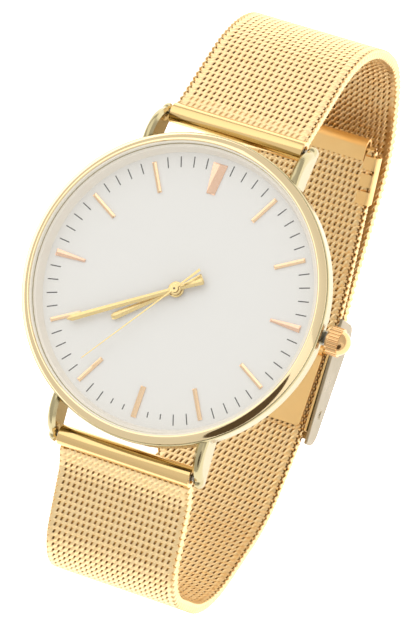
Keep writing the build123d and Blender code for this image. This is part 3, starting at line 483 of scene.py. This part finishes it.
# Hour markers: solid wedges cut to a roof, wide at 12, narrower at 3 and 9, sticks elsewhere
for hour in range(1, 13):
    inner_half, outer_half = WEDGE_HALVES.get(hour, (STICK_HALF, STICK_HALF))
    roof = MARKER_HEIGHT - MARKER_EDGE if hour == 12 else STICK_ROOF
    marker = blade([
        (MARKER_INNER, inner_half, 0), (MARKER_INNER + MARKER_END, inner_half, 1),
        (MARKER_OUTER - MARKER_END, outer_half, 1), (MARKER_OUTER, outer_half, 0),
    ], roof, MARKER_HEIGHT - roof, 30 * hour, 0.0)
    marker.name = f"marker_{hour:02d}_faceted"
    coat(marker, rose_gold if hour in (3, 9, 12) else pale_rose)
    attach(marker, "case")
    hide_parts(f"marker_{hour:02d}")

# Printed minute marks: a raised film of ink, shorter beside 6 o'clock
marks = []
for minute in range(60):
    if minute % 5 == 0:
        continue
    outer = (MARK_INNER + MARK_OUTER) / 2 if minute in (28, 29, 31, 32) else MARK_OUTER
    marks.append(blade([(MARK_INNER, MARK_HALF, 0), (outer, MARK_HALF, 0)], 0.0, INK_HEIGHT, 6 * minute, 0.0))
track = join(marks, "minute_track")
coat(track, ink)
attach(track, "case")

# Tubes at the strap's ends, round the spring bars
for side, bar, body in ((1, "12", "short_strap"), (-1, "6", "long_strap")):
    tube = turned_ring(TUBE_BORE, TUBE_RADIUS, -TUBE_HALF, TUBE_HALF, TUBE_ROUNDING)
    tube.name = f"end_tube_{bar}"
    tube.rotation_euler.y = pi / 2
    tube.location = (0, side * BAR_Y * MM, BAR_Z * MM)
    bpy.ops.object.transform_apply(location=True, rotation=True, scale=True)
    coat(tube, gold_tube)
    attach(tube, body)
    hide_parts(f"end_bar_{bar}")


class Route:
    """A line of straight runs and rounded corners in the YZ plane, walked by its length."""

    def __init__(self, corners, bends):
        spots = [Vector(c) * MM for c in corners]
        self.runs = []
        start = spots[0]
        for before, corner, after, bend in zip(spots, spots[1:], spots[2:], bends):
            radius = bend * MM
            back = (before - corner).normalized()
            on = (after - corner).normalized()
            half = back.angle(on) / 2
            reach = radius * cos(half) / sin(half)
            arc_start = corner + back * reach
            centre = corner + (back + on).normalized() * radius / sin(half)
            turn = pi - 2 * half
            sense = 1 if back.x * on.y - back.y * on.x < 0 else -1
            self.runs.append((start, arc_start, None, 0))
            self.runs.append((arc_start, None, centre, turn * sense))
            start = corner + on * reach
        self.runs.append((start, spots[-1], None, 0))
        self.length = sum(self.span(run) for run in self.runs)

    def span(self, run):
        """The length of one run."""
        start, end, centre, turn = run
        return (end - start).length if centre is None else abs(turn) * (start - centre).length

    def at(self, distance):
        """The spot and the direction at that distance along the line."""
        for run in self.runs:
            start, end, centre, turn = run
            span = self.span(run)
            if distance <= span or run is self.runs[-1]:
                break
            distance -= span
        if centre is None:
            along = (end - start).normalized()
            return start + along * distance, along
        arm = start - centre
        angle = turn * distance / span
        arm = Vector((arm.x * cos(angle) - arm.y * sin(angle), arm.x * sin(angle) + arm.y * cos(angle)))
        along = Vector((-arm.y, arm.x)).normalized() * (1 if turn > 0 else -1)
        return centre + arm, along

    def distance_to(self, spot):
        """How far along the line a spot on one of its straight runs lies."""
        walked = 0
        for run in self.runs:
            start, end, centre, turn = run
            if centre is None and (spot - start).length + (end - spot).length < self.span(run) + NEAR * MM:
                return walked + (spot - start).length
            walked += self.span(run)
        return walked


short_route = Route(SHORT_CORNERS, SHORT_BENDS)
long_route = Route(LONG_CORNERS, LONG_BENDS)


def wire_coil():
    """One row of the weave: a coil of six-sided wire along X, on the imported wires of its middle."""
    coil_half = COIL_TURNS * COIL_PITCH / 2
    deselect()
    bpy.ops.mesh.primitive_circle_add(vertices=6, radius=WIRE_RADIUS * MM, rotation=(pi / 2, pi / 6, 0),
                                      location=(-coil_half * MM, 0, COIL_HEIGHT * MM))
    coil = bpy.context.object
    bpy.ops.object.transform_apply(location=True, rotation=True, scale=True)
    bpy.ops.object.mode_set(mode="EDIT")
    bpy.ops.mesh.select_all(action="SELECT")
    bpy.ops.transform.resize(value=(WIRE_FLATTENING, 1, 1), center_override=(-coil_half * MM, 0, 0))
    bpy.ops.object.mode_set(mode="OBJECT")
    screw = coil.modifiers.new("coil", "SCREW")
    screw.axis = "X"
    screw.angle = 2 * pi
    screw.screw_offset = COIL_PITCH * MM
    screw.iterations = COIL_TURNS
    screw.steps = COIL_STEPS
    screw.render_steps = COIL_STEPS
    bpy.ops.object.modifier_apply(modifier="coil")
    bpy.ops.object.mode_set(mode="EDIT")
    bpy.ops.mesh.select_all(action="SELECT")
    bpy.ops.transform.resize(value=(1, COIL_REACH / COIL_HEIGHT, 1), center_override=(0, 0, 0))
    # Both faces are rolled nearly flat
    for side in (1, -1):
        pick(coil, lambda spot: side * spot.z > ROLLED_HEIGHT)
        bpy.ops.transform.resize(value=(1, 1, ROLLED_SHARE),
                                 center_override=(0, 0, side * ROLLED_HEIGHT * MM))
    # The wire's last turn lies along the strap's edge and closes it
    last_turn = coil_half - COIL_PITCH * LAST_TURN_PITCHES
    for side in (1, -1):
        pick(coil, lambda spot: side * spot.x > last_turn)
        bpy.ops.transform.resize(value=(LAST_TURN_SQUEEZE, 1, 1),
                                 center_override=(side * (last_turn + LAST_TURN_REACH) * MM, 0, 0))
    bpy.ops.mesh.select_all(action="DESELECT")
    bpy.ops.mesh.select_non_manifold()
    bpy.ops.mesh.fill()
    bpy.ops.mesh.select_all(action="SELECT")
    bpy.ops.mesh.normals_make_consistent(inside=False)
    bpy.ops.object.mode_set(mode="OBJECT")
    # Each loop leans along the strap's width, one way on the face and the other on the back. No transform
    # operator twists a mesh like this, so its points are moved here
    for vertex in coil.data.vertices:
        vertex.co.x += COIL_SLANT * vertex.co.y * vertex.co.z / (COIL_HEIGHT * MM)
    bpy.ops.object.shade_smooth_by_angle(angle=radians(40))
    coat(coil, gold_wire)
    # The imported wires inside the coils, as one slab that shows through the holes, in the darker wire
    # colour: painted shade
    bpy.ops.mesh.primitive_cube_add(size=1)
    core = bpy.context.object
    core.scale = (2 * CORE_HALF * MM, ROW_PITCH * MM, CORE_THICKNESS * MM)
    bpy.ops.object.transform_apply(location=True, rotation=True, scale=True)
    coat(core, wire_core_painted_shade)
    # The wire between two rows, near each face
    cross_wires = []
    for side in (1, -1):
        bpy.ops.mesh.primitive_cylinder_add(
            vertices=8, radius=CROSS_WIRE_RADIUS * MM, depth=2 * CORE_HALF * MM, rotation=(0, pi / 2, 0),
            location=(0, ROW_PITCH / 2 * MM, side * CROSS_WIRE_HEIGHT * MM))
        wire = bpy.context.object
        bpy.ops.object.transform_apply(location=True, rotation=True, scale=True)
        bpy.ops.object.shade_smooth_by_angle(angle=radians(50))
        coat(wire, gold_wire)
        cross_wires.append(wire)
    # The loop that closes the row at each edge of the strap
    beads = []
    for side in (1, -1):
        bpy.ops.mesh.primitive_uv_sphere_add(segments=8, ring_count=6, radius=MM,
                                             location=(side * (STRAP_HALF - EDGE_BEAD[0]) * MM, 0, 0))
        bead = bpy.context.object
        bead.scale = EDGE_BEAD
        bpy.ops.object.transform_apply(location=True, rotation=True, scale=True)
        bpy.ops.object.shade_smooth()
        coat(bead, gold_wire)
        beads.append(bead)
    return join([coil, core] + cross_wires + beads, "coil")


def row_copy(coil, name):
    """A copy of a row with its own mesh, made the active object."""
    row = bpy.data.objects.new(name, coil.data.copy())
    bpy.context.collection.objects.link(row)
    deselect()
    row.select_set(True)
    bpy.context.view_layer.objects.active = row
    return row


def notched(coil):
    """A row of the weave whose middle is stamped down into a notch of the clasp's ladder."""
    row = row_copy(coil, "notched_coil")
    pick(row, lambda spot: abs(spot.x) < NOTCH_HALF and spot.z > NOTCH_FLOOR)
    bpy.ops.transform.resize(value=(1, 1, NOTCH_SQUEEZE), center_override=(0, 0, NOTCH_FLOOR * MM))
    bpy.ops.object.mode_set(mode="OBJECT")
    return row


def pressed(coil):
    """A row at a strap's end, where the wires are pressed close together and lie nearly flat."""
    row = row_copy(coil, "pressed_coil")
    pick(row, lambda spot: abs(abs(spot.x) - CORE_HALF) < NEAR
         and abs(abs(spot.z) - CORE_THICKNESS / 2) < NEAR)
    bpy.ops.transform.resize(value=(1, 1, PRESSED_THICKNESS / CORE_THICKNESS), center_override=(0, 0, 0))
    bpy.ops.object.mode_set(mode="OBJECT")
    row.data.materials[1] = gold_wire
    return row


def weave(name, rows, route, body):
    """Joins rows into one stretch of mesh. Each row is its distance along the route, the unit it repeats
    and its share of the full width."""
    pieces = []
    for distance, unit, narrowing in rows:
        spot, along = route.at(distance)
        turn = Matrix.Rotation(atan2(along.y, along.x), 4, "X")
        piece = bpy.data.objects.new(name, unit.data.copy())
        bpy.context.collection.objects.link(piece)
        narrow = Matrix.Diagonal((narrowing, 1, 1, 1))
        piece.data.transform(Matrix.Translation((0, spot.x, spot.y)) @ turn @ narrow)
        pieces.append(piece)
    stretch = join(pieces, name)
    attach(stretch, body)
    return stretch


coil = wire_coil()
notched_coil = notched(coil)
pressed_coil = pressed(coil)
row_step = ROW_PITCH * MM

# Short strap, from its tube to the clasp's tube
short_start = MESH_START * MM
short_end = short_route.length - (CLASP_TUBE_RADIUS - CLASP_TUBE_OVERLAP) * MM
short_count = int(round((short_end - short_start) / row_step))
short_rows = [(short_start + (row + 0.5) * (short_end - short_start) / short_count,
               pressed_coil if row < PRESSED_ROWS else coil, 1.0) for row in range(short_count)]
upper = weave("mesh_short_upper", short_rows[:short_count // 2], short_route, "short_strap")
weave("mesh_short_lower", short_rows[short_count // 2:], short_route, "short_strap")
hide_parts("strap_12")

# Long strap, from its tube to the fold at the tail, in step with the notch that the flap locks in
lock_distance = long_route.distance_to(Vector(LOCK_NOTCH) * MM)
long_end = long_route.length - TAIL_FOLD * MM
first_row = ceil((MESH_START * MM + row_step * FIRST_ROW_ROOM - lock_distance) / row_step)
last_row = floor((long_end - row_step / 2 - lock_distance) / row_step)
long_rows = []
for row in range(first_row, last_row + 1):
    distance = lock_distance + row * row_step
    room = (long_end - distance) / MM
    narrowing = 1.0
    if room <= TAIL_TAPER:
        narrowing = (TAIL_HALF + (STRAP_HALF - TAIL_HALF) * room / TAIL_TAPER) / STRAP_HALF
    unit = coil
    if row < first_row + PRESSED_ROWS:
        unit = pressed_coil
    elif row == 0:
        unit = notched_coil
    long_rows.append((distance, unit, narrowing))
third = len(long_rows) // 3
long_parts = [long_rows[:third], long_rows[third:2 * third], long_rows[2 * third:]]
for number, rows in enumerate(long_parts, 1):
    stretch = weave(f"mesh_long_{number}", rows, long_route, "long_strap")
    if number == 1:
        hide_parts("strap_6")
for unit in (coil, notched_coil, pressed_coil):
    bpy.data.objects.remove(unit)


def soft_light(name, size, power, place, aim):
    """A square soft box that looks at a point, with its size in m and its power in W."""
    data = bpy.data.lights.new(name, "AREA")
    data.size = size
    data.energy = power
    lamp = bpy.data.objects.new(name, data)
    bpy.context.collection.objects.link(lamp)
    lamp.location = place
    lamp.rotation_euler = (Vector(aim) - Vector(place)).to_track_quat("-Z", "Y").to_euler()


# Floor of white paper, lit a little from behind as a light table is
paper = plain_finish("backdrop_paper", "#FFFFFF", 0.9)
paper_shader = paper.node_tree.nodes["Principled BSDF"]
paper_shader.inputs["Emission Color"].default_value = linear("#FFFFFF")
paper_shader.inputs["Emission Strength"].default_value = 0.9
deselect()
bpy.ops.mesh.primitive_plane_add(size=6.0)
floor_plane = bpy.context.object
floor_plane.name = "floor"
coat(floor_plane, paper)

# The room: white overhead, greyer towards the horizon and, by a slight lean, on the 9 o'clock side
SKY_LEAN = 0.15
world = bpy.data.worlds.new("studio")
bpy.context.scene.world = world
world.use_nodes = True
sky = world.node_tree
way = node(sky, "ShaderNodeTexCoord")
split = node(sky, "ShaderNodeSeparateXYZ", {"Vector": way.outputs["Generated"]})
leaning = node(sky, "ShaderNodeMath", {0: split.outputs["X"], 1: SKY_LEAN, 2: split.outputs["Z"]},
               operation="MULTIPLY_ADD")
shade = node(sky, "ShaderNodeValToRGB", {"Fac": leaning.outputs["Value"]})
shade.color_ramp.elements[0].position = 0.0
shade.color_ramp.elements[0].color = (0.8, 0.79, 0.77, 1)
shade.color_ramp.elements[1].position = 0.9
shade.color_ramp.elements[1].color = (0.92, 0.92, 0.92, 1)
middle = shade.color_ramp.elements.new(0.5)
middle.color = (0.8, 0.8, 0.79, 1)
sky.links.new(shade.outputs["Color"], sky.nodes["Background"].inputs["Color"])
sky.nodes["Background"].inputs["Strength"].default_value = 1.0

watch_middle = Vector((0, 0, 0.03))
soft_light("key", size=1.0, power=2.3, place=(-0.35, 0.45, 0.7), aim=watch_middle)
soft_light("fill", size=0.7, power=0.5, place=(0.6, -0.3, 0.45), aim=watch_middle)

# An oval dark card out of the picture, for the dark streak that the bezel shows at 4 o'clock, in metres
CARD_WAY = (0.55, -0.62, 0.57)
CARD_LONG_WAY = (0.19, 0.46, 0.25)
CARD_DISTANCE = 0.42
CARD_HALF_LENGTH = 0.19
CARD_HALF_WIDTH = 0.11
card_way = Vector(CARD_WAY).normalized()
card_long = card_way.cross(Vector(CARD_LONG_WAY)).cross(card_way).normalized()
deselect()
bpy.ops.mesh.primitive_circle_add(vertices=48, radius=1, fill_type="NGON")
card = bpy.context.object
card.name = "dark_card"
card.scale = (CARD_HALF_LENGTH, CARD_HALF_WIDTH, 1)
card.rotation_euler = Matrix((card_long, card_way.cross(card_long), card_way)).transposed().to_euler()
card.location = watch_middle + card_way * CARD_DISTANCE
bpy.ops.object.transform_apply(location=True, rotation=True, scale=True)
coat(card, plain_finish("card_board", "#3A2C18", 0.9))
card.visible_camera = False
card.visible_shadow = False
card.visible_diffuse = False

# Camera at the photo's angle: high over 3 o'clock, with 12 o'clock leaning to the right. Angles are in
# degrees, the aim and the distance in mm, the lens in mm of a 36 mm sensor
CAMERA_AZIMUTH = -13.76
CAMERA_ELEVATION = 71.97
CAMERA_DISTANCE = 527.6
CAMERA_LEAN = 19.76
CAMERA_AIM = (4.97, -1.62, 48.0)
CAMERA_LENS = 241.8

back = Vector((cos(radians(CAMERA_ELEVATION)) * cos(radians(CAMERA_AZIMUTH)),
               cos(radians(CAMERA_ELEVATION)) * sin(radians(CAMERA_AZIMUTH)),
               sin(radians(CAMERA_ELEVATION))))
hint = Vector((-sin(radians(CAMERA_LEAN)), cos(radians(CAMERA_LEAN)), 0))
right = hint.cross(back).normalized()
up = back.cross(right)
camera_data = bpy.data.cameras.new("camera")
camera_data.lens = CAMERA_LENS
camera_data.sensor_width = 36.0
camera_data.clip_start = 0.01
camera = bpy.data.objects.new("camera", camera_data)
bpy.context.collection.objects.link(camera)
place = Vector(CAMERA_AIM) * MM + back * CAMERA_DISTANCE * MM
camera.matrix_world = Matrix((
    (right.x, up.x, back.x, place.x),
    (right.y, up.y, back.y, place.y),
    (right.z, up.z, back.z, place.z),
    (0, 0, 0, 1),
))
bpy.context.scene.camera = camera
bpy.context.scene.view_settings.view_transform = "Standard"
